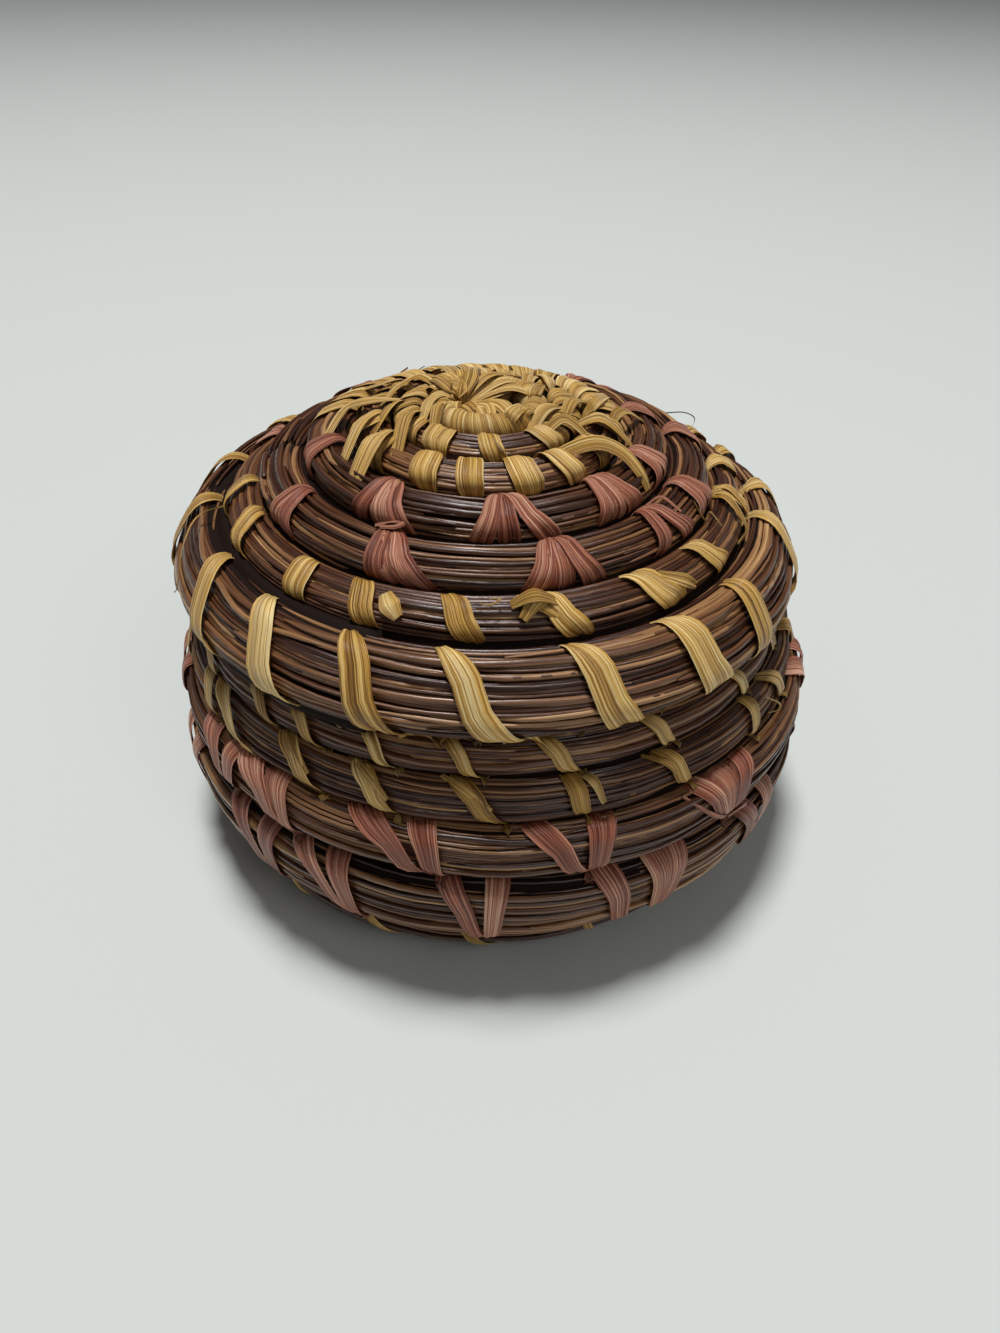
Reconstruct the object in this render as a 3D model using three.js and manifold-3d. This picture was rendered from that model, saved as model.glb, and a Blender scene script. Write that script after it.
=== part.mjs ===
// A round lidded basket of pine needles. Bundles of needles are coiled outwards from a start ring
// wrapped in raffia, one unbroken coil for the bowl and one for the lid, and each round is sewn
// with its own strand of raffia. A collar of needles under the lid keeps it centred in the mouth.
// Millimetres, +Z up. The basket stands on z = 0, in the middle of the space that it takes up.

import * as THREE from "three";
import { mergeVertices } from "three/addons/utils/BufferGeometryUtils.js";
import Module from "manifold-3d";

const wasm = await Module();
wasm.setup();

// Bowl: radii and heights of the middle of the coil, heights above the round it stands on
const footRadius = 46;
const baseKickUp = 3.2;
const heelReach = 16;
const heelRise = 22;
const heelDip = 0.3;
const bellyRadius = 71.1;
const bellyHeight = 30.3;
const bellyFullness = 15;
const mouthRadius = 65.5;
const mouthHeight = 60.8;
const mouthUpright = 7;
const bellyLean = 2.6;
const bowlStartRadius = 8;

// Widths of the bowl's rounds as seen between two grooves, from the start ring to the mouth
const bowlRounds = [8.2, 8.5, 8.9, 9.3, 9.8, 11.5, 16.5, 18.4, 11.6, 10.8];

// Lid: a low dome that turns down to a thick rim
const lidRise = 39.5;
const crownReach = 16;
const crownDrop = 3.6;
const shoulderOverhang = 4.6;
const shoulderHeight = 18.2;
const lidStartRadius = 10;
const lidRounds = [10.6, 10.4, 11, 11, 9.5, 17.7];

// How the coil is laid: the step to the next round is taken over the back of the basket
const roundGap = 0.7;
const stepBegins = 0.42;
const tipHalf = 0.8;
const coilCrown = 1.12;
const deepestHalf = 7.2;
const faceOut = 0.93;
const faceAlong = 0.6;
const footCut = 0.5;

// Raffia strands, and how far a stitch draws the bundle in
const strandWidth = 4.4;
const strandThickness = 0.36;
const strandClearance = 0.3;
const bendAllowance = 1.5;
const grooveNarrowing = 0.34;
const stitchWaist = 0.9;
const deepestWaist = 1 / 3;
const footWaist = 2.2;
const stitchSlant = 8.5;
const steepestSlant = 1 / 3;
const footSlant = 3;
const fanMouth = 7;
const fanSpread = 12.4;
const footLandHalf = 7;

// Stitches in each round, from the start ring out, and the rounds sewn as mauve fans
const bowlStitches = [12, 12, 14, 16, 16, 16, 16, 16, 16, 16];
const lidStitches = [11, 16, 16, 16, 16, 16];
const bowlFans = [7, 8];
const lidFans = [3, 4];
const footRounds = [4, 5];

// Collar under the lid
const collarHalfWidth = 3.9;
const collarHalfHeight = 6.5;
const collarDrop = 4.8;
const collarStitches = 12;
const collarEndGap = 3;
const collarSlant = 4;
const lashingRoom = 1.2;

// Start rings
const startWraps = 12;
const startDish = 1.7;
const startHollow = 0.68;
const wrapDepth = 0.07;

// Seat of the lid on the mouth
const lidSeat = 0.1;

const FULL_TURN = 2 * Math.PI;
const RAISE_SHARE = 0.8;

// Corners of a bundle's section, from the edge next to the round before, over the face and round
// the back. Each is a share of the half thickness out of the wall and of the half width along it.
const SECTION = [
  [0, -1],
  [faceOut, -faceAlong],
  [faceOut, faceAlong],
  [0, 1],
  [-faceOut, faceAlong],
  [-faceOut, -faceAlong],
];
const [INNER, FACE_INNER, FACE_OUTER, OUTER, BACK_OUTER, BACK_INNER] = SECTION.keys();

const START_RING_ANGLES = [150, 100, 50, 0, -50, -100, -150].map(THREE.MathUtils.degToRad);
const WELD = 1e-4;
const SEARCH_STEPS = 400;
const TANGENT_REACH = 0.002;
const { clamp, lerp, smootherstep } = THREE.MathUtils;

const materials = {
  needles: new THREE.MeshStandardMaterial({ color: 0x5a4030, roughness: 0.5, metalness: 0 }),
  natural: new THREE.MeshStandardMaterial({ color: 0xb58a3f, roughness: 0.45, metalness: 0 }),
  mauve: new THREE.MeshStandardMaterial({ color: 0x8c5850, roughness: 0.5, metalness: 0 }),
};

// A closed mesh from points and triangles, turned to face outwards
function closedGeometry(points, triangles) {
  let volume = 0;
  for (const [a, b, c] of triangles) {
    volume += points[a].dot(new THREE.Vector3().crossVectors(points[b], points[c]));
  }
  const facing = volume > 0 ? triangles : triangles.map(([a, b, c]) => [a, c, b]);
  const geometry = new THREE.BufferGeometry();
  geometry.setAttribute("position", new THREE.Float32BufferAttribute(points.flatMap((p) => p.toArray()), 3));
  geometry.setIndex(facing.flat());
  return geometry;
}

function middleOf(points) {
  return points.reduce((sum, point) => sum.add(point), new THREE.Vector3()).divideScalar(points.length);
}

// Two triangles for the four-cornered face a, b, c, d, split along the diagonal that stands further out
function splitFace(points, middle, [a, b, c, d]) {
  const [first, second] = [[a, c], [b, d]].map((ends) => middleOf(ends.map((end) => points[end])));
  const outwards = points[c].clone().sub(points[a]).cross(points[d].clone().sub(points[b]));
  if (outwards.dot(first.clone().add(second).multiplyScalar(0.5).sub(middle)) < 0) outwards.negate();
  return first.sub(second).dot(outwards) > 0 ? [[a, b, c], [a, c, d]] : [[a, b, d], [b, c, d]];
}

// A tube through rings of points, each ring with the same number of corners, closed at both ends
function tubeThrough(rings) {
  const points = rings.flat();
  const sides = rings[0].length;
  const triangles = [];
  for (let ring = 0; ring + 1 < rings.length; ring += 1) {
    const middle = middleOf([...rings[ring], ...rings[ring + 1]]);
    for (let side = 0; side < sides; side += 1) {
      const [a, b] = [ring * sides + side, ring * sides + ((side + 1) % sides)];
      triangles.push(...splitFace(points, middle, [a, b, b + sides, a + sides]));
    }
  }
  const last = (rings.length - 1) * sides;
  for (let side = 1; side + 1 < sides; side += 1) {
    triangles.push([0, side + 1, side], [last, last + side, last + side + 1]);
  }
  return closedGeometry(points, triangles);
}

function solidOf(geometry) {
  const bare = new THREE.BufferGeometry();
  bare.setAttribute("position", geometry.getAttribute("position").clone());
  bare.setIndex(geometry.getIndex());
  const merged = mergeVertices(bare, WELD);
  const vertProperties = new Float32Array(merged.getAttribute("position").array);
  const triVerts = new Uint32Array(merged.getIndex().array);
  return new wasm.Manifold(new wasm.Mesh({ numProp: 3, vertProperties, triVerts }));
}

function geometryOf(solid) {
  const mesh = solid.getMesh();
  const geometry = new THREE.BufferGeometry();
  geometry.setAttribute("position", new THREE.BufferAttribute(mesh.vertProperties, 3));
  geometry.setIndex(new THREE.BufferAttribute(mesh.triVerts, 1));
  return geometry;
}

// The bowl's line runs along the base, round the heel and up the wall to the mouth
function bowlLine() {
  const foot = new THREE.Vector2(footRadius, 0);
  const belly = new THREE.Vector2(bellyRadius, bellyHeight);
  const mouth = new THREE.Vector2(mouthRadius, mouthHeight);
  const line = new THREE.CurvePath();
  line.add(new THREE.LineCurve(new THREE.Vector2(0, baseKickUp), foot));
  line.add(new THREE.CubicBezierCurve(
    foot,
    new THREE.Vector2(footRadius + heelReach, -heelDip),
    new THREE.Vector2(bellyRadius, bellyHeight - heelRise),
    belly,
  ));
  line.add(new THREE.CubicBezierCurve(
    belly,
    new THREE.Vector2(bellyRadius, bellyHeight + bellyFullness),
    new THREE.Vector2(mouthRadius, mouthHeight - mouthUpright),
    mouth,
  ));
  return line;
}

// The lid's line runs out from the crown and turns down over the shoulder to the rim's lower edge
function lidLine() {
  const seat = mouthHeight + lidSeat;
  return new THREE.CubicBezierCurve(
    new THREE.Vector2(0, seat + lidRise),
    new THREE.Vector2(crownReach, seat + lidRise - crownDrop),
    new THREE.Vector2(mouthRadius + shoulderOverhang, seat + shoulderHeight),
    new THREE.Vector2(mouthRadius, seat),
  );
}

// A bundle of needles laid round the axis and sewn. A place on it is given in turns.
// A kind of bundle says with frameAt where its middle lies, and which way is out and along its line.
class Bundle {
  // Places the stitches of each strand, and the rings of the mesh that follow from them
  sew(plans) {
    this.strands = plans.map((plan) => this.stitchesOf(plan));
    this.rings = this.layRings();
  }

  // Turns that a length along the round takes up
  turnsFor(length, turn) {
    return length / (FULL_TURN * this.frameAt(turn).radius);
  }

  // One strand's stitches. Each goes in at the round before, crosses, and comes out at the next one.
  stitchesOf({ from, to, count, slant, isFan, isFoot }) {
    const total = Math.max(1, Math.round(count * (to - from)));
    const kink = Math.PI / (2 * count);
    const places = [];
    if (isFan) {
      const pairs = Math.round(total / 2);
      for (let pair = 0; pair < pairs; pair += 1) {
        const turn = lerp(from, to, (pair + 0.5) / pairs);
        const mouth = this.turnsFor(fanMouth / 2, turn);
        const spread = this.turnsFor(fanSpread / 2, turn);
        places.push([turn - mouth, turn - spread], [turn + mouth, turn + spread]);
      }
    } else {
      for (let stitch = 0; stitch < total; stitch += 1) {
        const turn = lerp(from, to, (stitch + 0.5) / total);
        const lean = Math.min(this.turnsFor(slant, turn), steepestSlant / count) / 2;
        places.push([turn - lean, turn + lean]);
      }
    }
    return places.map(([enter, leave]) => ({ enter, leave, middle: (enter + leave) / 2, isFoot, kink }));
  }

  // Rings of the mesh: one drawn in at each stitch, and full ones between
  layRings() {
    const stitches = this.strands.flat();
    const rings = [{ turn: this.start, waist: 0 }];
    stitches.forEach((stitch, index) => {
      const waist = stitch.isFoot ? footWaist : stitchWaist;
      const spacing = (FULL_TURN * this.frameAt(stitch.middle).radius * stitch.kink) / Math.PI;
      stitch.ridge = waist / (stitch.isFoot ? footLandHalf : spacing);
      rings.push({ turn: stitch.middle, waist });
      const next = stitches[index + 1];
      if (!next) return;
      const between = (stitch.middle + next.middle) / 2;
      stitch.behind = between;
      next.before = between;
      if (stitch.isFoot && next.isFoot) {
        const land = this.turnsFor(footLandHalf, stitch.middle);
        stitch.behind = stitch.middle + land;
        next.before = next.middle - land;
        rings.push({ turn: stitch.behind, waist: 0 }, { turn: next.before, waist: 0 });
      } else {
        const close = next.middle - stitch.middle < this.turnsFor(2 * fanMouth, between);
        rings.push({ turn: between, waist: close ? waist / 2 : 0 });
      }
    });
    rings.push({ turn: this.end, waist: 0 });
    return rings.map(({ turn, waist }) => ({ turn, corners: this.sectionAt(turn, waist) }));
  }

  // The six corners of the bundle's section
  sectionAt(turn, waist) {
    const { centre, along, out, half } = this.frameAt(turn);
    const drawn = Math.max(half - Math.min(waist, half * deepestWaist), tipHalf / 2);
    const crown = drawn * this.crownAt(turn);
    return SECTION.map(([outShare, alongShare]) => centre.clone()
      .addScaledVector(out, crown * outShare)
      .addScaledVector(along, drawn * alongShare));
  }

  // A point on one corner line of the tube, raised off its face
  pointOn(turn, corner, raise) {
    const last = this.rings.length - 2;
    let index = this.rings.findIndex((ring) => ring.turn > turn) - 1;
    index = index < 0 ? (turn <= this.start ? 0 : last) : Math.min(index, last);
    const [before, after] = [this.rings[index], this.rings[index + 1]];
    const share = (turn - before.turn) / (after.turn - before.turn);
    const [point, opposite] = [corner, (corner + OUTER) % SECTION.length].map(
      (place) => before.corners[place].clone().lerp(after.corners[place], share),
    );
    const outwards = point.clone().sub(opposite).normalize();
    return point.addScaledVector(outwards, raise / RAISE_SHARE);
  }

  geometry() {
    return tubeThrough(this.rings.map((ring) => ring.corners));
  }

  // A round's strand as one ribbon that goes over the bundle and back behind it at every stitch
  strandGeometry(index) {
    const stitches = this.strands[index];
    const { kink } = stitches[0];
    const path = stitches.flatMap(({ before, enter, leave, behind, ridge, isFoot }) => [
      [BACK_INNER, before ?? (this.start + enter) / 2, grooveNarrowing, ridge],
      [INNER, enter, grooveNarrowing, 0],
      [FACE_INNER, lerp(enter, leave, 1 / 3), isFoot ? grooveNarrowing : 1, 0],
      [FACE_OUTER, lerp(enter, leave, 2 / 3), isFoot ? grooveNarrowing : 1, 0],
      [OUTER, leave, grooveNarrowing, 0],
      [BACK_OUTER, behind ?? (leave + this.end) / 2, grooveNarrowing, ridge],
    ]);
    return tubeThrough(path.map(([corner, turn, share, ridge]) => {
      const spacing = (FULL_TURN * this.frameAt(turn).radius * kink) / Math.PI;
      const half = Math.min(strandWidth * share, spacing) / 2;
      const raise = strandClearance / 2 + half * bendAllowance * (Math.tan(kink) + ridge);
      const across = this.turnsFor(half, turn);
      const edges = [turn - across, turn + across].map((place) => this.pointOn(place, corner, raise));
      const crest = this.pointOn(turn, corner, strandThickness).sub(this.pointOn(turn, corner, 0));
      return [...edges, crest.add(middleOf(edges))];
    }));
  }

  // Least distance between the corner lines of one round and the next
  leastGap() {
    let least = Infinity;
    const line = new THREE.Line3();
    const nearest = new THREE.Vector3();
    this.rings.forEach(({ turn, corners }) => {
      this.rings.slice(0, -1).forEach((ring, index) => {
        const apart = ring.turn - turn;
        if (apart < 0.5 || apart > 1.5) return;
        const next = this.rings[index + 1];
        [BACK_OUTER, BACK_INNER, INNER, FACE_INNER].forEach((there) => {
          line.set(ring.corners[there], next.corners[there]);
          [BACK_OUTER, OUTER, FACE_OUTER, FACE_INNER].forEach((here) => {
            line.closestPointToPoint(corners[here], true, nearest);
            least = Math.min(least, nearest.distanceTo(corners[here]));
          });
        });
      });
    });
    return least;
  }
}

// A coil laid along a line of revolution, from a start ring to the line's far end
class Coil extends Bundle {
  constructor({ line, startEdge, rounds, side, way, azimuth, lean }) {
    super();
    const length = line.getLength();
    const scale = (length - startEdge) / rounds.reduce((sum, width) => sum + width, 0);
    this.edges = [startEdge];
    rounds.forEach((width, round) => this.edges.push(this.edges[round] + width * scale));
    Object.assign(this, { line, length, side, way, azimuth, lean, turns: rounds.length });
    this.start = this.turnWhere((turn) => this.halfAt(turn) >= tipHalf, 0, 1);
    this.end = this.turnWhere((turn) => this.halfAt(turn) <= tipHalf, this.turns, this.turns + 1);
  }

  // The first turn in a range for which a test holds
  turnWhere(test, from, to) {
    for (let step = 0; step <= SEARCH_STEPS; step += 1) {
      const turn = lerp(from, to, step / SEARCH_STEPS);
      if (test(turn)) return turn;
    }
    return to;
  }

  // Distance along the line of the coil's outer edge
  outerEdge(turn) {
    if (turn < 0) return this.edges[0];
    if (turn >= this.turns) return this.edges[this.turns];
    const round = Math.floor(turn);
    return lerp(this.edges[round], this.edges[round + 1], smootherstep(turn - round, stepBegins, 1));
  }

  halfAt(turn) {
    return (this.outerEdge(turn) - this.outerEdge(turn - 1) - roundGap) / 2;
  }

  // A bundle's depth as a share of its width. A wide round is laid flatter.
  crownAt(turn) {
    return Math.min(coilCrown, deepestHalf / this.halfAt(turn));
  }

  frameAt(turn) {
    const middle = (this.outerEdge(turn) + this.outerEdge(turn - 1)) / 2;
    const at = middle / this.length;
    const point = this.line.getPointAt(at);
    const ahead = this.line.getPointAt(Math.min(1, at + TANGENT_REACH));
    const behind = this.line.getPointAt(Math.max(0, at - TANGENT_REACH));
    const tangent = ahead.sub(behind).normalize();
    const angle = this.azimuth + this.way * FULL_TURN * turn;
    const radial = new THREE.Vector3(Math.cos(angle), Math.sin(angle), 0);
    const centre = radial.clone().multiplyScalar(point.x);
    centre.z = point.y;
    centre.x += this.lean(point.y);
    const along = radial.clone().multiplyScalar(tangent.x);
    along.z = tangent.y;
    const out = radial.clone().multiplyScalar(-this.side * tangent.y);
    out.z = this.side * tangent.x;
    return { centre, along, out, radius: point.x, half: this.halfAt(turn) };
  }

  // One strand of raffia to a round, the first taking in the coil's thin start
  sewRounds({ stitches, fans, foot }) {
    this.sew(stitches.map((count, index) => {
      const round = index + 1;
      const isFoot = foot.includes(round);
      return {
        from: round === 1 ? this.start : round,
        to: round === this.turns ? this.end : round + 1,
        count,
        slant: isFoot ? footSlant : stitchSlant,
        isFan: fans.includes(round),
        isFoot,
      };
    }));
    return this;
  }
}

// One round of needles whose two ends butt together
class Collar extends Bundle {
  constructor(radius, height) {
    super();
    const opening = collarEndGap / (FULL_TURN * radius) / 2;
    Object.assign(this, { radius, height, start: opening, end: 1 - opening });
    this.sew([{ from: this.start, to: this.end, count: collarStitches, slant: collarSlant }]);
  }

  crownAt() {
    return collarHalfWidth / (collarHalfHeight * faceOut);
  }

  frameAt(turn) {
    const { radius, height } = this;
    const out = new THREE.Vector3(-Math.cos(FULL_TURN * turn), -Math.sin(FULL_TURN * turn), 0);
    const centre = out.clone().multiplyScalar(radius);
    centre.z = height;
    return { centre, out, along: new THREE.Vector3(0, 0, -1), radius, half: collarHalfHeight };
  }
}

// A ring of needles under a close wrapping of raffia, filled in at its middle
function startRingGeometry(line, outerEdge, side) {
  const radius = outerEdge * startHollow;
  const thick = outerEdge - roundGap - radius;
  const height = line.getPointAt(radius / line.getLength()).y;
  const section = START_RING_ANGLES.map(
    (angle) => new THREE.Vector2(radius + thick * Math.cos(angle), side * thick * Math.sin(angle)),
  );
  const segments = 2 * startWraps;
  const rings = [];
  for (let segment = 0; segment < segments; segment += 1) {
    const drawn = segment % 2 ? 1 - wrapDepth : 1;
    const angle = (FULL_TURN * segment) / segments;
    rings.push(section.map(({ x, y }) => {
      const reach = radius + (x - radius) * drawn;
      return new THREE.Vector3(reach * Math.cos(angle), reach * Math.sin(angle), height + y * drawn);
    }));
  }
  const points = rings.flat();
  const corners = rings[0].length;
  const triangles = [];
  for (let segment = 0; segment < segments; segment += 1) {
    const here = segment * corners;
    const there = ((segment + 1) % segments) * corners;
    for (let corner = 0; corner + 1 < corners; corner += 1) {
      triangles.push([here + corner, here + corner + 1, there + corner + 1]);
      triangles.push([here + corner, there + corner + 1, there + corner]);
    }
    triangles.push([points.length, here, there]);
    triangles.push([points.length + 1, there + corners - 1, here + corners - 1]);
  }
  const crown = new THREE.Vector3(0, 0, height + side * startDish);
  const under = new THREE.Vector3(0, 0, height - side * startDish);
  return closedGeometry([...points, crown, under], triangles);
}

// Cuts the lowest round flat where the bowl stands, and gives the height of the cut
function cutFoot(geometry) {
  geometry.computeBoundingBox();
  const { min, max } = geometry.boundingBox;
  const level = min.z + footCut;
  const size = 2 * (max.x - min.x);
  const table = new THREE.BoxGeometry(size, size, size);
  table.translate(0, 0, level - size / 2);
  const cut = solidOf(geometry).subtract(solidOf(table));
  return { cut: geometryOf(cut), level };
}

const bowlCoil = new Coil({
  line: bowlLine(),
  startEdge: bowlStartRadius + roundGap,
  rounds: bowlRounds,
  side: -1,
  way: -1,
  azimuth: 0,
  lean: (height) => bellyLean * Math.sin(Math.PI * clamp(height / mouthHeight, 0, 1)),
}).sewRounds({ stitches: bowlStitches, fans: bowlFans, foot: footRounds });

const lidCoil = new Coil({
  line: lidLine(),
  startEdge: lidStartRadius + roundGap,
  rounds: lidRounds,
  side: 1,
  way: 1,
  azimuth: Math.PI,
  lean: () => 0,
}).sewRounds({ stitches: lidStitches, fans: lidFans, foot: [] });

// The collar lies against the stitches on the inside of the rim, and reaches down into the mouth
function collarUnder(coil) {
  const { radius, half } = coil.frameAt(coil.turns);
  const rimInside = radius - half * coil.crownAt(coil.turns) * faceOut;
  const height = mouthHeight - collarDrop + collarHalfHeight;
  return new Collar(rimInside - lashingRoom - collarHalfWidth, height);
}

const collar = collarUnder(lidCoil);

function meshOf(name, geometry, material) {
  const mesh = new THREE.Mesh(geometry, materials[material].clone());
  mesh.name = name;
  return mesh;
}

const root = new THREE.Group();
const bowl = new THREE.Group();
const lid = new THREE.Group();

const { cut: bowlGeometry, level: footLevel } = cutFoot(bowlCoil.geometry());
bowl.add(meshOf("bowl_coil", bowlGeometry, "needles"));
bowl.add(meshOf("bowl_start_ring", startRingGeometry(bowlCoil.line, bowlStartRadius, -1), "natural"));
bowlStitches.forEach((_, index) => {
  const material = bowlFans.includes(index + 1) ? "mauve" : "natural";
  bowl.add(meshOf(`bowl_raffia_round_${index + 1}`, bowlCoil.strandGeometry(index), material));
});

lid.add(meshOf("lid_coil", lidCoil.geometry(), "needles"));
lid.add(meshOf("lid_start_ring", startRingGeometry(lidCoil.line, lidStartRadius, 1), "natural"));
lidStitches.forEach((_, index) => {
  const material = lidFans.includes(index + 1) ? "mauve" : "natural";
  lid.add(meshOf(`lid_raffia_round_${index + 1}`, lidCoil.strandGeometry(index), material));
});
lid.add(meshOf("lid_collar", collar.geometry(), "needles"));
lid.add(meshOf("lid_collar_raffia", collar.strandGeometry(0), "natural"));

root.add(bowl, lid);
const footprint = new THREE.Box3().setFromObject(root).getCenter(new THREE.Vector3());
root.position.set(-footprint.x, -footprint.y, -footLevel);

const leastGaps = [bowlCoil, lidCoil].map((coil) => coil.leastGap().toFixed(2));
console.log(`least gap between rounds: bowl ${leastGaps[0]} mm, lid ${leastGaps[1]} mm`);

export default root;
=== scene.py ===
# %% [markdown]
# # A lidded basket coiled from pine needles
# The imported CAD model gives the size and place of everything. This scene lays real needles and raffia over it.
# Both coils follow one rule, so their guides are worked out in code and Geometry Nodes lays the needles along them.

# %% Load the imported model
import math
import random
from functools import partial

import bmesh
import bpy
import numpy as np
from mathutils import Matrix, Vector


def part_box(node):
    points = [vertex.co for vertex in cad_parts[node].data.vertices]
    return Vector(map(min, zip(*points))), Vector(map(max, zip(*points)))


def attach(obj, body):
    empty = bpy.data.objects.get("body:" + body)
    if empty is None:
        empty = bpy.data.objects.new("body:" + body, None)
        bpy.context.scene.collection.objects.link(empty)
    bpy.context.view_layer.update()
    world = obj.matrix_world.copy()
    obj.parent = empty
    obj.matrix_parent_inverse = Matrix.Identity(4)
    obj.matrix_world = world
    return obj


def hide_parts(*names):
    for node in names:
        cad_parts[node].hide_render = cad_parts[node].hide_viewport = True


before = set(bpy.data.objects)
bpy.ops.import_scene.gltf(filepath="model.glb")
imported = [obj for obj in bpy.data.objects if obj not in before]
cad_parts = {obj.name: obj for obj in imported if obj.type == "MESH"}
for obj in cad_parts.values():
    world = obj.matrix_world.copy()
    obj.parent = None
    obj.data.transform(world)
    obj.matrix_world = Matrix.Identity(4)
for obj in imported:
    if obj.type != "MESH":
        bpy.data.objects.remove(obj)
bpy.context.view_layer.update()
MM = 0.001
FULL_TURN = 2 * math.pi

# %% [markdown]
# ## Camera
# The photograph is taken from above the front edge of a table, with a phone's main lens.
# A camera could be tried by eye, but fitting the outlines of lid and bowl gave its place and tilt in millimetres.
# The tilt is built from three directions, which keeps the small roll of the hand-held phone.

# %% Camera at the photograph's angle
TILT, ROLL = math.radians(37.88), math.radians(1.24)
CAMERA_PLACE = Vector((1.43, -208.72, 193.34)) * MM


def placed(name, data):
    """A new object in the scene."""
    made = bpy.data.objects.new(name, data)
    bpy.context.scene.collection.objects.link(made)
    return made


forward = Vector((0, math.cos(TILT), -math.sin(TILT)))
level_right = Vector((1, 0, 0))
right = math.cos(ROLL) * level_right + math.sin(ROLL) * level_right.cross(forward)
facing_basket = Matrix((right, right.cross(forward), -forward)).transposed().to_4x4()
camera_data = bpy.data.cameras.new("camera")
camera_data.sensor_fit = "HORIZONTAL"
camera_data.sensor_width = 36
camera_data.lens = 36.04
camera_data.clip_start = 0.01
camera = placed("camera", camera_data)
camera.matrix_world = Matrix.Translation(CAMERA_PLACE) @ facing_basket
bpy.context.scene.camera = camera
print("camera at", tuple(round(value, 4) for value in camera.location))

# %% [markdown]
# ## Table and light
# The basket stands on a pale table in soft light from above. A plain floor and one wide lamp give the same soft shadow.
# The world fills the shadows. Its level and the lamps' are kept where a colour renders about as it is written.

# %% Floor, lamps and world
def wire(tree, node, inputs):
    """Gives each input of a node, by its name or number, a value or the socket that feeds it."""
    for name, value in inputs.items():
        if isinstance(value, bpy.types.NodeSocket):
            tree.links.new(value, node.inputs[name])
        else:
            node.inputs[name].default_value = value


def lamp(name, place, size, power):
    light = bpy.data.lights.new(name, "AREA")
    light.shape = "DISK"
    light.size = size
    light.energy = power
    towards_basket = (-Vector(place)).to_track_quat("-Z", "Y").to_matrix().to_4x4()
    placed(name, light).matrix_world = Matrix.Translation(place) @ towards_basket


lamp("lamp_above", (-0.15, 0.25, 2.5), size=0.6, power=60)
lamp("lamp_window", (0.5, -0.7, 0.9), size=0.5, power=1.6)

world = bpy.data.worlds.new("soft room")
world.use_nodes = True
wire(world.node_tree, world.node_tree.nodes["Background"], {"Color": (1.0, 1.0, 1.0, 1), "Strength": 0.12})
bpy.context.scene.world = world
bpy.context.scene.view_settings.view_transform = "Standard"

cloth = bpy.data.materials.new("pale table")
cloth.use_nodes = True
wire(cloth.node_tree, cloth.node_tree.nodes["Principled BSDF"], {"Base Color": (0.6, 0.63, 0.61, 1), "Roughness": 0.9})
FLOOR_HALF = 3
floor_corners = [(x * FLOOR_HALF, y * FLOOR_HALF, 0) for x, y in ((-1, -1), (1, -1), (1, 1), (-1, 1))]
floor_mesh = bpy.data.meshes.new("floor")
floor_mesh.from_pydata(floor_corners, [], [(0, 1, 2, 3)])
floor_mesh.materials.append(cloth)
placed("floor", floor_mesh)
print("table of", 2 * FLOOR_HALF, "m and two lamps")

# %% [markdown]
# ## Shader groups for needles and raffia
# Dried needles are waxy and streaked, and raffia is fibrous. Both are lengthwise streaks of colour on a satin surface.
# One node group makes streaks from what every strand carries: how far along it, how far across, its tone and its folds,
# and it gives the fold valleys a painted shade.
# Attributes are used and not object coordinates, because the streaks have to follow each strand round its curves.

# %% Small helpers for node trees
def add(tree, kind, inputs=None, **settings):
    node = tree.nodes.new(kind)
    for name, value in settings.items():
        setattr(node, name, value)
    wire(tree, node, inputs or {})
    return node


class NodeGroup:
    """A node group with named sockets. Each socket is given as its type and its value to start with."""

    def __init__(self, name, kind, inputs, outputs):
        self.tree = bpy.data.node_groups.new(name, kind)
        for direction, sockets in (("INPUT", inputs), ("OUTPUT", outputs)):
            for title, (type_name, value) in sockets.items():
                socket = self.tree.interface.new_socket(title, in_out=direction, socket_type="NodeSocket" + type_name)
                if value is not None:
                    socket.default_value = value
        self.ask = self.tree.nodes.new("NodeGroupInput").outputs
        self.answer = self.tree.nodes.new("NodeGroupOutput")

    def node(self, kind, inputs=None, output=0, **settings):
        return add(self.tree, kind, inputs, **settings).outputs[output]

    def math(self, operation, *values):
        return self.node("ShaderNodeMath", dict(enumerate(values)), operation=operation)

    def words(self, *operations):
        """Math nodes of this group as functions, so that a sum reads like one."""
        return [partial(self.math, operation) for operation in operations]


def carried(tree, name):
    """What the points of a strand carry under this name."""
    return add(tree, "ShaderNodeAttribute", attribute_name=name).outputs["Fac"]


# %% Streaks along a strand, and painted shade in its folds
TONES_APART = 40.0  # takes each strand to its own part of the noise
VALLEY_STARTS, VALLEY_FLOOR = -0.35, -1.1  # how deep a fold has to be before painted shade darkens its colour, and where that painted shade is darkest
streaks = NodeGroup(
    "Lengthwise streaks", "ShaderNodeTree",
    {"Fineness": ("Float", 9.0), "Length": ("Float", 0.03), "Contrast": ("Float", 1.6)},
    {"Streak": ("Float", None), "Ridges": ("Float", None), "Painted shade mask": ("Float", None)},
)
plus, minus, times, over, times_plus = streaks.words("ADD", "SUBTRACT", "MULTIPLY", "DIVIDE", "MULTIPLY_ADD")
place = streaks.node("ShaderNodeCombineXYZ", {
    "X": times(carried(streaks.tree, "across"), streaks.ask["Fineness"]),
    "Y": over(carried(streaks.tree, "lengthwise"), streaks.ask["Length"]),
    "Z": times(carried(streaks.tree, "tone"), TONES_APART),
})
broad = streaks.node("ShaderNodeTexNoise", {"Vector": place, "Scale": 0.5, "Detail": 2.0}, output="Fac")
fine = streaks.node("ShaderNodeTexNoise", {"Vector": place, "Scale": 1.7, "Detail": 3.0}, output="Fac")
spread = times_plus(minus(plus(broad, fine), 1.0), streaks.ask["Contrast"], 0.5)
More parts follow.
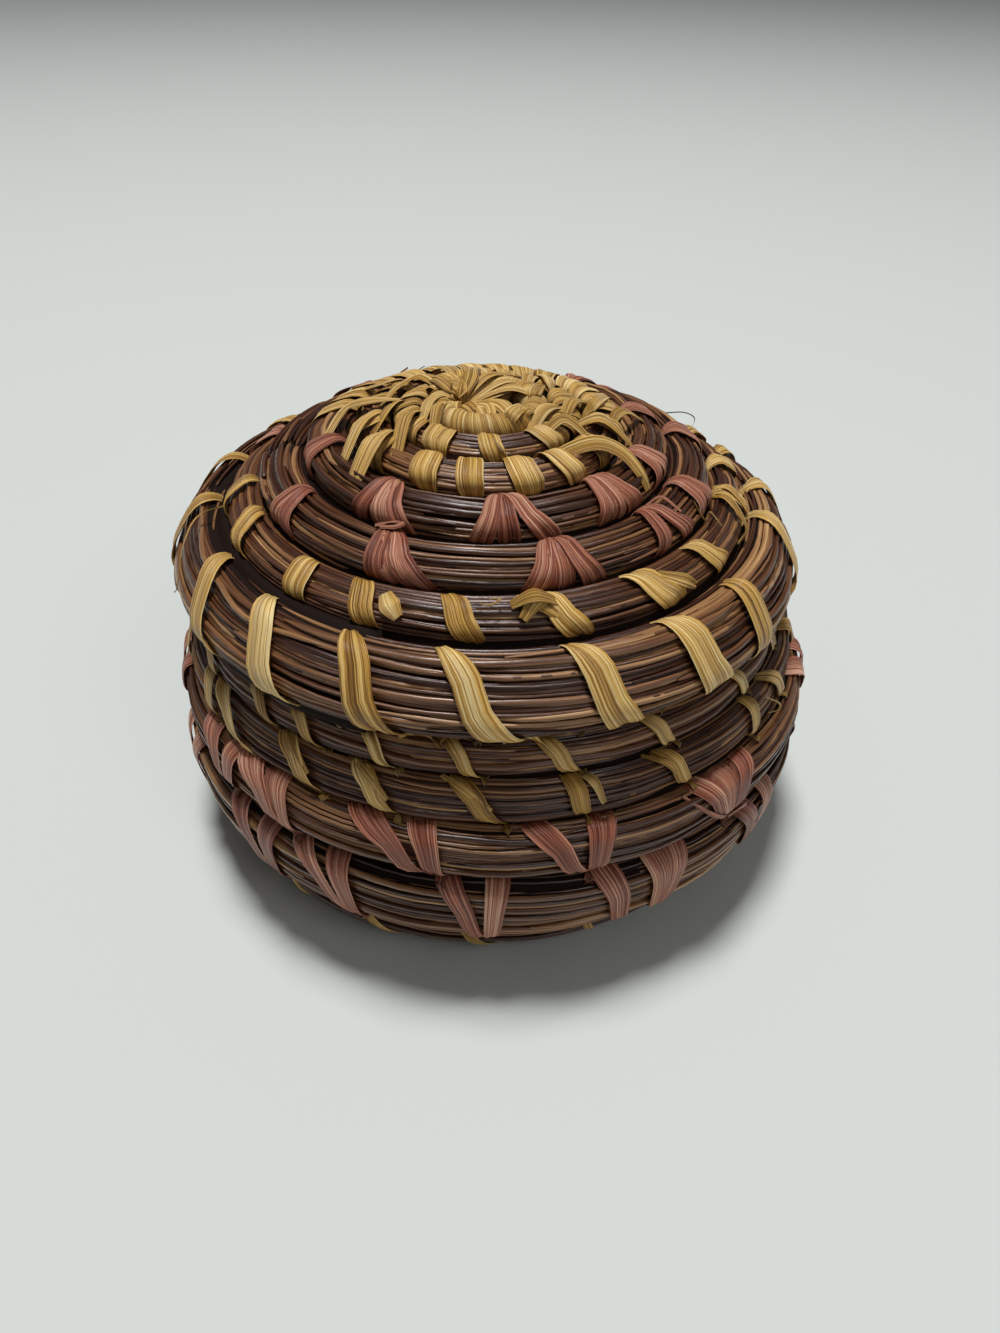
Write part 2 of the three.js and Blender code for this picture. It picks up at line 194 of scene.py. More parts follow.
wire(streaks.tree, streaks.answer, {
    "Streak": streaks.node("ShaderNodeClamp", {"Value": spread}),
    "Ridges": fine,
    # where the painted shade goes: none on the fold tops, most at the bottom of the valleys
    "Painted shade mask": streaks.node("ShaderNodeMapRange", {
        "Value": carried(streaks.tree, "fold"), "From Min": VALLEY_STARTS, "From Max": VALLEY_FLOOR,
    }),
})
print("shader group:", streaks.tree.name)


# %% Materials of the strands
# Painted shade: the colour that the valleys of the raffia folds are darkened towards
FOLD_SHADE = (0.34, 0.2, 0.1, 1)


def strand_material(name, colours, roughness, bump, fineness, length, tone_share, contrast, painted_shade_strength=0.0, sheen=None):
    """A streaked, satin strand. The colours run from its darkest streaks to its lightest, and painted shade darkens the
    valleys of its folds.
    """
    material = bpy.data.materials.new(name)
    material.use_nodes = True
    tree = material.node_tree
    sizes = {"Fineness": fineness, "Length": length, "Contrast": contrast}
    pattern = add(tree, "ShaderNodeGroup", sizes, node_tree=streaks.tree).outputs
    shares = {"Factor": tone_share, "A": pattern["Streak"], "B": carried(tree, "tone")}
    ramp = add(tree, "ShaderNodeValToRGB", {"Fac": add(tree, "ShaderNodeMix", shares).outputs["Result"]})
    stops = ramp.color_ramp.elements
    for position, colour in colours[1:-1]:
        stops.new(position)
    for stop, (position, colour) in zip(stops, colours):
        stop.position = position
        stop.color = (*colour, 1)
    # Painted shade: the colour is darkened in the valleys of the folds
    painted_shade_share = add(tree, "ShaderNodeMath", {0: pattern["Painted shade mask"], 1: painted_shade_strength}, operation="MULTIPLY").outputs[0]
    painted_shade_mix = {"Factor": painted_shade_share, "A": ramp.outputs["Color"], "B": FOLD_SHADE}
    rough = {"Value": pattern["Ridges"], "To Min": roughness - 0.1, "To Max": roughness + 0.12}
    relief = {"Strength": bump, "Distance": 0.0004, "Height": pattern["Ridges"]}
    wire(tree, tree.nodes["Principled BSDF"], {
        "Base Color": add(tree, "ShaderNodeMix", painted_shade_mix, data_type="RGBA", blend_type="MULTIPLY").outputs["Result"],
        "Roughness": add(tree, "ShaderNodeMapRange", rough).outputs["Result"],
        "Normal": add(tree, "ShaderNodeBump", relief).outputs["Normal"],
    } | (sheen or {}))
    return material


needle_finish = strand_material(
    "dried pine needles",
    [
        (0.0, (0.018, 0.004, 0.002)), (0.3, (0.06, 0.018, 0.007)), (0.55, (0.165, 0.068, 0.027)),
        (0.78, (0.33, 0.165, 0.066)), (1.0, (0.56, 0.34, 0.15)),
    ],
    roughness=0.31, bump=0.3, fineness=5.0, length=0.03, tone_share=0.62, contrast=2.2,
    sheen={"Coat Weight": 0.2, "Coat Roughness": 0.16},
)
painted_shade_core_finish = strand_material(  # its colour is painted shade: nearly black and dull, for the needles in shade deep inside the bundle
    "needles inside the bundle, in painted shade",
    [(0.0, (0.004, 0.0015, 0.001)), (1.0, (0.02, 0.009, 0.006))],
    roughness=0.7, bump=0.5, fineness=40.0, length=0.02, tone_share=0.2, contrast=1.6,
    sheen={"Specular IOR Level": 0.1},
)
# The last of these numbers sets how dark the painted shade in the fold valleys is.
RAFFIA = dict(bump=0.9, fineness=15.0, length=0.035, tone_share=0.3, contrast=3.2, painted_shade_strength=0.45)
golden_finish = strand_material(
    "golden raffia",
    [(0.0, (0.13, 0.055, 0.009)), (0.3, (0.43, 0.215, 0.036)), (0.6, (0.78, 0.46, 0.1)), (1.0, (0.98, 0.8, 0.42))],
    roughness=0.36, **RAFFIA,
)
mauve_finish = strand_material(
    "mauve raffia",
    [(0.0, (0.085, 0.017, 0.009)), (0.3, (0.27, 0.066, 0.034)), (0.62, (0.5, 0.175, 0.1)), (1.0, (0.88, 0.53, 0.35))],
    roughness=0.34, **RAFFIA,
)
print("finishes:", [m.name for m in (needle_finish, painted_shade_core_finish, golden_finish, mauve_finish)])

# %% [markdown]
# ## The path of a coil
# A basket like this is one bundle of needles wound from the middle outwards, as it is in the CAD source.
# A coil could be a plain spiral, but then every round would drift outwards at the front too.
# Here each round keeps its width over the front, and the step to the next round is taken over the back.

# %% Lines that the coils follow, in millimetres above the foot's middle
ORIGIN = np.array([-2.609, -0.060, 4.564])
UP = np.array([0, 0, 1.0])
ROUND_GAP = 0.7
STEP_BEGINS = 0.42  # of a turn
SQUARENESS = 0.62  # of a bundle's section: 1 is round, and less is squarer
FULLEST = 1.12  # most depth of a bundle for its width
DEEPEST_HALF = 7.2
WAIST_LENGTH = 6.5  # how far along the bundle a stitch's pull is felt
BOWL_HEIGHT, BOWL_LEAN = 60.8, 2.6


def bezier(points):
    share = np.linspace(0, 1, 300)[:, None]
    a, b, c, d = (np.array(point, float) for point in points)
    return (1 - share) ** 3 * a + 3 * (1 - share) ** 2 * share * b + 3 * (1 - share) * share ** 2 * c + share ** 3 * d


def straight(start, end):
    return np.array(start) + (np.array(end) - np.array(start)) * np.linspace(0, 1, 60)[:, None]


bowl_line = np.vstack([
    straight((0, 3.2), (46, 0)),
    bezier([(46, 0), (62, -0.3), (71.1, 8.3), (71.1, 30.3)])[1:],
    bezier([(71.1, 30.3), (71.1, 45.3), (65.5, 53.8), (65.5, 60.8)])[1:],
])
lid_line = bezier([(0, 100.4), (16, 96.8), (70.1, 79.1), (65.5, 60.9)])
print("lines of", len(bowl_line), "and", len(lid_line), "points")


# %% A coil, and where its middle, its face and its edges are at any turn
def distance_along(points):
    """How far along a chain of points each one is."""
    return np.concatenate([[0], np.cumsum(np.linalg.norm(np.diff(points, axis=0), axis=1))])


def level(angle):
    """The level direction at an angle round the basket."""
    return np.stack([np.cos(angle), np.sin(angle), 0 * angle], -1)


def unit(vectors):
    return vectors / np.linalg.norm(vectors, axis=-1, keepdims=True)


def eased(x):
    """Goes from 0 to 1 with no bump at either end."""
    x = np.clip(x, 0, 1)
    return x * x * x * (x * (6 * x - 15) + 10)


def squarer(x):
    """Takes a cosine or sine to a section between a circle and a square, as packed bundles have."""
    return np.sign(x) * np.abs(x) ** SQUARENESS


class Coil:
    """A bundle wound along a line. Places on it are given in turns, counted from the middle."""

    def __init__(self, line, start_edge, rounds, side, way, azimuth, lean):
        self.line, self.at = line, distance_along(line)
        scale = (self.at[-1] - start_edge) / sum(rounds)
        self.edges = start_edge + np.concatenate([[0], np.cumsum(np.array(rounds) * scale)])
        self.turns, self.side, self.way, self.azimuth = len(rounds), side, way, azimuth
        self.lean, self.waists = lean, np.zeros((0, 2))

    def outer_edge(self, turn):
        turn = np.asarray(turn, float)
        index = np.clip(np.floor(turn), 0, self.turns - 1).astype(int)
        step = eased((turn - index - STEP_BEGINS) / (1 - STEP_BEGINS))
        edge = self.edges[index] + (self.edges[index + 1] - self.edges[index]) * step
        return np.where(turn < 0, self.edges[0], np.where(turn >= self.turns, self.edges[-1], edge))

    def on_line(self, distance):
        return np.stack([np.interp(distance, self.at, self.line[:, k]) for k in (0, 1)], -1)

    def frame(self, turn):
        """The middle, the ways to the next round and out of the face, half the width and the radius, at each turn."""
        turn = np.asarray(turn, float)
        middle = (self.outer_edge(turn) + self.outer_edge(turn - 1)) / 2
        point = self.on_line(middle)
        before, beyond = np.maximum(middle - 0.3, 0), np.minimum(middle + 0.3, self.at[-1])
        tangent = unit(self.on_line(beyond) - self.on_line(before))
        radial = level(self.azimuth + self.way * FULL_TURN * turn)
        centre = ORIGIN + radial * point[..., :1] + UP * point[..., 1:]
        centre[..., 0] += self.lean(point[..., 1])
        along = radial * tangent[..., :1] + UP * tangent[..., 1:]
        out = self.side * (tangent[..., :1] * UP - tangent[..., 1:] * radial)
        half = (self.outer_edge(turn) - self.outer_edge(turn - 1) - ROUND_GAP) / 2
        return centre, along, out, half, point[..., 0]

    def crown(self, turn):
        """How deep the bundle is for its width. Wide rounds are laid flatter than narrow ones."""
        return np.minimum(FULLEST, DEEPEST_HALF / np.maximum(self.frame(turn)[3], 0.1))

    def waist(self, turn):
        """How far the nearest stitch pulls the bundle in."""
        turn = np.asarray(turn, float)
        radius = self.frame(turn)[4]
        apart = (turn[..., None] - self.waists[:, 0]) * FULL_TURN * radius[..., None]
        return (self.waists[:, 1] * np.exp(-(apart / WAIST_LENGTH) ** 2)).max(-1, initial=0)

    def drawn_in(self, turn, half):
        """Half the width, less what the stitches pull in, which is never more than a third."""
        return np.maximum(half - np.minimum(self.waist(turn), half / 3), 0.4)

    def section(self, turn, angle, lift):
        """Points round the bundle: angle 0 is the middle of its face, 90 the edge next to the next round."""
        turn, angle = np.asarray(turn, float), np.asarray(angle, float)
        centre, along, out, half, _ = self.frame(turn)
        drawn, crown = self.drawn_in(turn, half), self.crown(turn)
        x, y = squarer(np.cos(angle)), squarer(np.sin(angle))
        point = centre + out * (x * crown * drawn)[..., None] + along * (y * drawn)[..., None]
        steep = 2 / SQUARENESS - 1
        normal = unit(
            out * (np.sign(x) * np.abs(x) ** steep)[..., None]
            + along * (np.sign(y) * np.abs(y) ** steep * crown)[..., None]
        )
        return point + normal * np.asarray(lift)[..., None], normal

    def turn_at(self, round_number, azimuth):
        return round_number + (self.way * (math.radians(azimuth) - self.azimuth) / FULL_TURN) % 1


bowl = Coil(
    bowl_line, 8.7, [8.2, 8.5, 8.9, 9.3, 9.8, 17.2, 20.5, 12.8, 9.7, 8.6], side=-1, way=-1, azimuth=0,
    lean=lambda height: BOWL_LEAN * np.sin(np.pi * np.clip(height / BOWL_HEIGHT, 0, 1)),
)
lid = Coil(
    lid_line, 13.6, [7.6, 9.6, 11.2, 11.2, 9.6, 17.7], side=1, way=1, azimuth=math.pi, lean=lambda height: 0 * height,
)
print("bowl line", round(bowl.at[-1], 1), "mm, lid line", round(lid.at[-1], 1), "mm")

# %% [markdown]
# ## Where the stitches go
# Raffia holds each round to the one before. Golden stitches slant across a round, and mauve ones open like fans.
# Every stitch in view sits at its own angle, as a hand-sewn one does, so the front ones are listed round by round.
# The ones at the back follow at the same spacing, with a small seeded scatter.

# %% Stitches: the spacing at the back, then the angles where each one in view goes in and comes out
LID_STITCHES = {
    1: (33, [(-119, -118), (-91, -82), (-56, -40)]),
    2: (24, [(-174, -158), (-149, -139), (-119, -113), (-98, -94), (-76, -70), (-59, -48), (-31, -31), (-3, -12)]),
    3: (40, [
        (-124, -129), (-124, -119), (-124, -111), (-84, -91), (-84, -82), (-84, -69), (-49, -52), (-49, -46),
        (-49, -38),
    ]),
    4: (36, [
        (-149, -150), (-149, -142), (-116, -113), (-116, -107), (-116, -101), (-72, -79), (-72, -72), (-72, -63),
        (-42, -44), (-42, -31),
    ]),
    5: (20, [(-157, -148), (-130, -128), (-116, -110), (-97, -90), (-79, -69), (-58, -47), (-39, -30), (-8, -10)]),
    6: (18, [(-150, -140), (-132, -121), (-113, -103), (-96, -84), (-74, -65), (-55, -47), (-36, -36), (-7, -17)]),
}
BOWL_STITCHES = {
    10: (17, [(-36, -42), (-56, -63), (-74, -81), (-90, -96), (-104, -110), (-117, -124)]),
    9: (18, [(-38, -38), (-55, -61), (-74, -77), (-87, -96), (-104, -112), (-117, -127), (-132, -147)]),
    8: (27, [
        (-47.5, -43), (-47.5, -49), (-47.5, -55), (-74, -72), (-74, -84), (-97, -101), (-97, -112), (-122, -127.5),
        (-122, -135.5),
    ]),
    7: (26, [(-60, -58), (-60, -63), (-66, -72), (-89.5, -88), (-89.5, -97), (-111, -115), (-111, -123)]),
    6: (18, [(-47, -53), (-65, -71), (-82, -94), (-98, -113.5), (-122, -130)]),
}
GOLDEN_SPACING = {1: 36, 2: 30, 3: 26, 4: 22.5, 5: 20}
BACK_SPACING = {("lid", 1): 17, ("lid", 2): 13}
MAUVE_ROUNDS = {"lid": (3, 4), "bowl": (7, 8)}
FAN_SPREAD = {"lid": (-0.4, 0.9), "bowl": (-0.1, 1.3)}  # strands of a fan at the back, in shares of the slant
SLANT, CROWDED_SLANT = 7 / 360, 12 / 360  # of a turn
ROOM_BESIDE, ROOM_AT_ENDS = 0.62, 0.3  # of the spacing
PULL = 0.55  # how far a stitch draws the bundle in
scatter = random.Random(7)


def passes_of(coil, name, round_number):
    """(turn in, turn out) of each pass over the round's face, in the order they are sewn."""
    table = LID_STITCHES if name == "lid" else BOWL_STITCHES
    spacing, listed = table.get(round_number, (GOLDEN_SPACING.get(round_number, 20), []))
    spacing = BACK_SPACING.get((name, round_number), spacing) / 360
    passes = [(coil.turn_at(round_number, a), coil.turn_at(round_number, b)) for a, b in listed]
    taken = sorted(t for t, _ in passes)
    slant = CROWDED_SLANT if (name, round_number) in BACK_SPACING else SLANT
    spread = FAN_SPREAD[name] if round_number in MAUVE_ROUNDS[name] else (1,)
    end = round_number + (1 if round_number < coil.turns else 1.3)
    turn = (0.5 if round_number == 1 else round_number) + ROOM_AT_ENDS * spacing
    room = ROOM_AT_ENDS * spacing
    filled = []
    while turn < end - 0.02:
        clear = all(abs(turn - t) > ROOM_BESIDE * spacing for t in taken)
        if clear and (not taken or not taken[0] - room < turn < taken[-1] + room):
            here = turn + scatter.uniform(-0.08, 0.08) * spacing
            filled += [(here, here + slant * share) for share in spread]
            turn += spacing
        else:
            turn += 0.002
    return sorted(passes + filled)


SEWN = {}
for name, coil in (("bowl", bowl), ("lid", lid)):
    for round_number in range(1, coil.turns + 1):
        SEWN[name, round_number] = passes_of(coil, name, round_number)
    middles = [((a + b) / 2, PULL) for key, passes in SEWN.items() if key[0] == name for a, b in passes]
    coil.waists = np.array(middles)
    print(name, "passes over the face:", len(middles))

# %% [markdown]
# ## Laying the needles
# Dozens of needles show round a bundle, and each one runs a hand's width before the next one takes over.
# One tube with a striped picture would look flat, and thousands of hand-placed curves would be slow to change.
# Geometry Nodes place the needles by number: a track round the bundle, a place along it, and small seeded differences.

# %% Words that both Geometry Nodes trees use
ABOVE_TABLE = 0.1 * MM


class GuidedTree(NodeGroup):
    """A Geometry Nodes tree that takes a guide and a finish, and gives one geometry."""

    def __init__(self, name, sizes, output):
        inputs = {"Guide": ("Geometry", None)} | sizes | {"Finish": ("Material", None)}
        super().__init__(name, "GeometryNodeTree", inputs, {output: ("Geometry", None)})

    def stored(self, name, data_type="FLOAT"):
        return self.node("GeometryNodeInputNamedAttribute", {"Name": name}, data_type=data_type)

    def kept_as(self, geometry, name, value):
        inputs = {"Geometry": geometry, "Name": name, "Value": value}
        return self.node("GeometryNodeStoreNamedAttribute", inputs, data_type="FLOAT")

    def moved(self, geometry, **where):
        return self.node("GeometryNodeSetPosition", {"Geometry": geometry} | where)

    def vector(self, operation, *values):
        return self.node("ShaderNodeVectorMath", dict(enumerate(values)), operation=operation)

    def scaled(self, vector, value):
        return self.node("ShaderNodeVectorMath", {0: vector, "Scale": value}, operation="SCALE")

    def no_lower(self, spot, height):
        """Raises a place to this height over the table, and leaves it alone otherwise."""
        least = self.node("ShaderNodeCombineXYZ", {"X": -1.0, "Y": -1.0, "Z": height})
        return self.vector("MAXIMUM", spot, least)

    def swept(self, curves, section, size):
        inputs = {"Curve": curves, "Profile Curve": section, "Scale": size, "Fill Caps": True}
        return self.node("GeometryNodeCurveToMesh", inputs)

    def end(self, geometry):
        """Keeps the shape above the table it stands on, smooths it, makes it real and gives it its finish."""
        raised = self.moved(geometry, Position=self.no_lower(self.node("GeometryNodeInputPosition"), ABOVE_TABLE))
        smooth = self.node("GeometryNodeSetShadeSmooth", {"Geometry": raised})
        realized = self.node("GeometryNodeRealizeInstances", {"Geometry": smooth})
        finished = self.node("GeometryNodeSetMaterial", {"Geometry": realized, "Material": self.ask["Finish"]})
        wire(self.tree, self.answer, {0: finished})
        print("tree:", self.tree.name, "with", len(self.tree.nodes), "nodes")


# %% Geometry Nodes: lay needles along a guide, with a number for every point
laying = GuidedTree("Lay pine needles", {
    "Tracks": ("Int", 30), "Needle length": ("Float", 0.09), "Points per needle": ("Int", 20),
    "Thickness": ("Float", 0.00107), "Twist": ("Float", 0.3), "Wander": ("Float", 0.24), "Depth": ("Float", 0.16),
    "Seed": ("Int", 1),
}, "Needles")
ask, node = laying.ask, laying.node
per_needle, needle_length = ask["Points per needle"], ask["Needle length"]
plus, minus, times, over, times_plus = laying.words("ADD", "SUBTRACT", "MULTIPLY", "DIVIDE", "MULTIPLY_ADD")
power, floor, most, least = laying.words("POWER", "FLOOR", "MAXIMUM", "MINIMUM")
DIFFERENCES = ["start", "restless", "spacing", "depth", "tone", "stout", "slope"]


def chance(number, difference, low=0.0, high=1.0):
    """A seeded number of its own for each needle or track, one for each difference between them."""
    seed = plus(ask["Seed"], float(DIFFERENCES.index(difference)))
    inputs = {"Min": low, "Max": high, "ID": number, "Seed": seed}
    return node("FunctionNodeRandomValue", inputs, output="Value")


guide = node("GeometryNodeMeshToCurve", {"Mesh": ask["Guide"]})
whole = node("GeometryNodeCurveLength", {"Curve": guide})
per_track = laying.math("CEIL", plus(over(whole, needle_length), 1.0))
count = times(times(per_track, ask["Tracks"]), per_needle)
points = node("GeometryNodePoints", {"Count": count})
index = node("GeometryNodeInputIndex")
needle = floor(over(plus(index, 0.5), per_needle))
step = minus(index, times(needle, per_needle))
share = over(step, minus(per_needle, 1.0))
track = laying.math("MODULO", needle, ask["Tracks"])
place = floor(over(plus(needle, 0.5), ask["Tracks"]))
print("numbered, so far", len(laying.tree.nodes), "nodes")

# %% Each needle's stretch of the guide
RUNS_ON = 1.06  # lengths, so that each needle overlaps the next one's start
begins = minus(place, chance(track, "start"))
low = times(begins, needle_length)
high = times(plus(begins, RUNS_ON), needle_length)
low, high = (least(most(value, 0.0), whole) for value in (low, high))
distance = times_plus(share, minus(high, low), low)
samples = {}
for name in ("face", "edge"):
    inputs = {"Curves": guide, "Value": laying.stored(name, "FLOAT_VECTOR"), "Length": distance}
    samples[name] = add(
        laying.tree, "GeometryNodeSampleCurve", inputs, mode="LENGTH", data_type="FLOAT_VECTOR", use_all_curves=True,
    ).outputs
print("sampled:", list(samples))

# %% Each needle's thickness, and its angle round the bundle
DEEP_EVERY, DEEP_STOUT = 3.0, 1.35  # each third track lies deeper and fills the gaps
THINNEST, MOSTLY_THIN = 0.66, 2.6
DRIFT_APART, DRIFT_WAVES = 7.31, 30.0
CALM, MOST_RESTLESS, MOSTLY_CALM = 0.6, 3.5, 7.0
SPACING_SCATTER, STEEPEST = 0.8, 0.16
is_deep = laying.math("LESS_THAN", laying.math("MODULO", track, DEEP_EVERY), 0.5)
stout = plus(power(chance(needle, "stout"), MOSTLY_THIN), THINNEST)
stout = most(stout, times(is_deep, DEEP_STOUT))
drift_at = node("ShaderNodeCombineXYZ", {"X": times(needle, DRIFT_APART), "Y": times(distance, DRIFT_WAVES)})
drift = node("ShaderNodeTexNoise", {"Vector": drift_at, "Scale": 1.0, "Detail": 1.0}, output="Fac")
restless = power(chance(needle, "restless"), MOSTLY_CALM)
sway = times(minus(drift, 0.5), times(times_plus(restless, MOST_RESTLESS, CALM), ask["Wander"]))
even = over(times_plus(chance(needle, "spacing"), SPACING_SCATTER, track), ask["Tracks"])
slope = times(minus(share, 0.5), chance(needle, "slope", -STEEPEST, STEEPEST))
lay = times(over(distance, needle_length), ask["Twist"])
angle = times_plus(even, FULL_TURN, plus(lay, plus(slope, sway)))

# A squared section spreads equal angles unevenly, so each quarter turn is bent to space the needles evenly again
QUARTER = FULL_TURN / 4
quarters = over(angle, QUARTER)
into = laying.math("FRACT", quarters)
from_start = power(into, 1 / SQUARENESS)
from_end = power(minus(1.0, into), 1 / SQUARENESS)
bent = over(from_start, plus(from_start, from_end))
angle = times(plus(floor(quarters), bent), QUARTER)
print("turned, so far", len(laying.tree.nodes), "nodes")


# %% Needles in their places
def squared(value):
    return times(laying.math("SIGN", value), power(laying.math("ABSOLUTE", value), SQUARENESS))


DEEP_SHARE, DEEP_MORE = 0.6, 0.09
depth = times(chance(needle, "depth"), ask["Depth"])
depth = most(depth, times(is_deep, times_plus(ask["Depth"], DEEP_SHARE, DEEP_MORE)))
reach = plus(minus(1.0, depth), times(sway, 0.1))
offset = laying.vector(
    "ADD",
    laying.scaled(samples["face"]["Value"], times(reach, squared(laying.math("COSINE", angle)))),
    laying.scaled(samples["edge"]["Value"], times(reach, squared(laying.math("SINE", angle)))),
)
spot = laying.vector("ADD", samples["face"]["Position"], offset)
laid = laying.moved(points, Position=laying.no_lower(spot, times(ask["Thickness"], 0.7)))
for name, value in {
    "tone": power(chance(needle, "tone"), minus(2.6, stout)),  # thin needles are darker
    "lengthwise": plus(distance, needle),
    "share": share, "needle": needle, "stout": stout,
    "kept": minus(high, low),
}.items():
    laid = laying.kept_as(laid, name, value)
print("placed, so far", len(laying.tree.nodes), "nodes")

# %% Points into curves, and curves into tapered needles
SHORTEST = 0.1  # of a needle's length
TIP, POINTED = 0.3, 9.0
short = laying.math("LESS_THAN", laying.stored("kept"), times(needle_length, SHORTEST))
laid = node("GeometryNodeDeleteGeometry", {"Geometry": laid, "Selection": short}, domain="POINT")
share = laying.stored("share")
curves = node("GeometryNodePointsToCurves", {
    "Points": laid, "Curve Group ID": laying.stored("needle"), "Weight": share,
})
taper = least(times_plus(share, POINTED, TIP), times_plus(share, -POINTED, POINTED + TIP))
taper = least(taper, 1.0)
radius = times(times(laying.stored("stout"), taper), times(ask["Thickness"], 0.5))
circle = node("GeometryNodeCurvePrimitiveCircle", {"Resolution": 5, "Radius": 1.0})
circle = laying.kept_as(circle, "across", node("GeometryNodeSplineParameter", output="Factor"))
laying.end(laying.swept(curves, circle, radius))


# %% From guide to plain mesh
def guide_mesh(name, lines):
    """Open chains of points with attributes. Each line is a dict with "place" and any other arrays, in metres."""
    mesh = bpy.data.meshes.new(name)
    places = np.vstack([line["place"] for line in lines])
    edges, start = [], 0
    for line in lines:
        edges += [(start + k, start + k + 1) for k in range(len(line["place"]) - 1)]
        start += len(line["place"])
    mesh.from_pydata(places.tolist(), edges, [])
    for key in lines[0]:
        if key == "place":
            continue
        values = np.concatenate([line[key] for line in lines]).astype(np.float32)
        is_vector = values.ndim == 2
        attribute = mesh.attributes.new(key, "FLOAT_VECTOR" if is_vector else "FLOAT", "POINT")
        attribute.data.foreach_set("vector" if is_vector else "value", values.ravel())
    return mesh


def kept_piece(name, mesh, body, slot, stands_for=None):
    """A finished piece that rides on a body and may stand for one of the CAD nodes."""
    piece = placed(name, mesh)
    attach(piece, body)
    if stands_for:
        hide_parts(stands_for)
    mesh.calc_loop_triangles()
    print(f"{name}: {len(mesh.loop_triangles)} triangles")


def grown(name, lines, group, body, finish, slot, stands_for=None, **values):
    """Runs a tree on guide lines and keeps the result as a plain piece."""
    holder = placed(name + "_guide", guide_mesh(name, lines))
    modifier = holder.modifiers.new("Nodes", "NODES")
    modifier.node_group = group.tree
    wanted = values | {"Finish": finish}
    for item in group.tree.interface.items_tree:
        if item.item_type == "SOCKET" and item.in_out == "INPUT" and item.name in wanted:
            modifier[item.identifier] = wanted.pop(item.name)
    assert not wanted, wanted
    seen = holder.evaluated_get(bpy.context.evaluated_depsgraph_get())
    mesh = bpy.data.meshes.new_from_object(seen)
    mesh.name = name
    holder.modifiers.clear()
    bpy.data.objects.remove(holder)
    kept_piece(name, mesh, body, slot, stands_for)


NEEDLE_WIDTH = 1.2


def bundle_guide(coil, first, last):
    """A bundle's middle line, with how far it reaches out of its face and to its edge."""
    length = FULL_TURN * 40 * (last - first)
    turns = np.linspace(first, last, max(8, int(length / 2)))
    centre, along, out, half, _ = coil.frame(turns)
    room = np.maximum(coil.drawn_in(turns, half) - NEEDLE_WIDTH / 2, 0.1)
    wide = np.maximum(half + ROUND_GAP / 2 - NEEDLE_WIDTH / 2, 0.1)
    return {
        "place": centre * MM,
        "face": out * (room * coil.crown(turns))[:, None] * MM,
        "edge": along * wide[:, None] * MM,
    }


# %% Needles of the bowl and of the lid
NEEDLE_PIECES = [  # name, coil, body, first and last turn, tracks, and the node that it stands for
    ("bowl_needles_base", bowl, "bowl", 0.3, 4.6, 38, None),
    ("bowl_needles_heel", bowl, "bowl", 4.6, 7.0, 64, None),
    ("bowl_needles_belly", bowl, "bowl", 7.0, 9.0, 68, "bowl_coil"),
    ("bowl_needles_neck", bowl, "bowl", 9.0, 11.35, 48, None),
    ("lid_needles_dome", lid, "lid", 0.35, 4.0, 39, None),
    ("lid_needles_shoulder", lid, "lid", 4.0, 6.0, 42, None),
    ("lid_needles_rim", lid, "lid", 6.0, 7.35, 88, "lid_coil"),
]
for number, (name, coil, body, first, last, tracks, stands_for) in enumerate(NEEDLE_PIECES):
    line = bundle_guide(coil, first, last)
    grown(name, [line], laying, body, needle_finish, "needles", stands_for, Tracks=tracks, Seed=number * 10)


# %% [markdown]
# ## The inside of each bundle
# Needles fill a bundle right through. Behind the ones that show, a plain tube stands for the rest, coloured near-black
# as painted shade.
# Laying them all would cost ten times the faces, and nobody would see them.
# A second, flatter tube reaches into the next round, so that no light shows between two rounds.

# %% Cores behind the needles, painted dark as shade
def tube(name, rings, body, finish, slot):
    """A closed tube through rings of points, as a plain piece."""
    sides = rings.shape[1]
    faces = []
    for k in range(len(rings) - 1):
        for s in range(sides):
            a, b = k * sides + s, k * sides + (s + 1) % sides
            faces.append((a, b, b + sides, a + sides))
    faces += [tuple(range(sides)), tuple(range((len(rings) - 1) * sides, len(rings) * sides))]
    mesh = bpy.data.meshes.new(name)
    mesh.from_pydata((rings.reshape(-1, 3) * MM).tolist(), [], faces)
    work = bmesh.new()
    work.from_mesh(mesh)
    bmesh.ops.recalc_face_normals(work, faces=work.faces)
    work.to_mesh(mesh)
    work.free()
    mesh.shade_smooth()
    mesh.materials.append(finish)
    kept_piece(name, mesh, body, slot)


UNDER_NEEDLES = 1.7
CORE_LOWEST = 0.8  # the core is flat where the basket stands
FULL_DEPTH, SHORT_OF_EDGE = 1.0, -0.9
FLATTER, INTO_NEXT_ROUND = 0.4, 1.3


def core_rings(coil, first, last, depth_share=FULL_DEPTH, reach=SHORT_OF_EDGE):
    """Rings of a tube inside the bundle. Its reach is measured from where the next round begins."""
    turns = np.linspace(first, last, int((last - first) * 90))
    angles = np.linspace(0, FULL_TURN, 12, endpoint=False)
    centre, along, out, half, _ = coil.frame(turns)
    tall = np.maximum(coil.drawn_in(turns, half) * coil.crown(turns) - UNDER_NEEDLES, 0.2) * depth_share
    wide = np.maximum(half + ROUND_GAP / 2 + reach, 0.2)
    rings = (
        centre[:, None]
        + out[:, None] * tall[:, None, None] * squarer(np.cos(angles))[None, :, None]
        + along[:, None] * wide[:, None, None] * squarer(np.sin(angles))[None, :, None]
    )
    rings[..., 2] = np.maximum(rings[..., 2], CORE_LOWEST)
    return rings


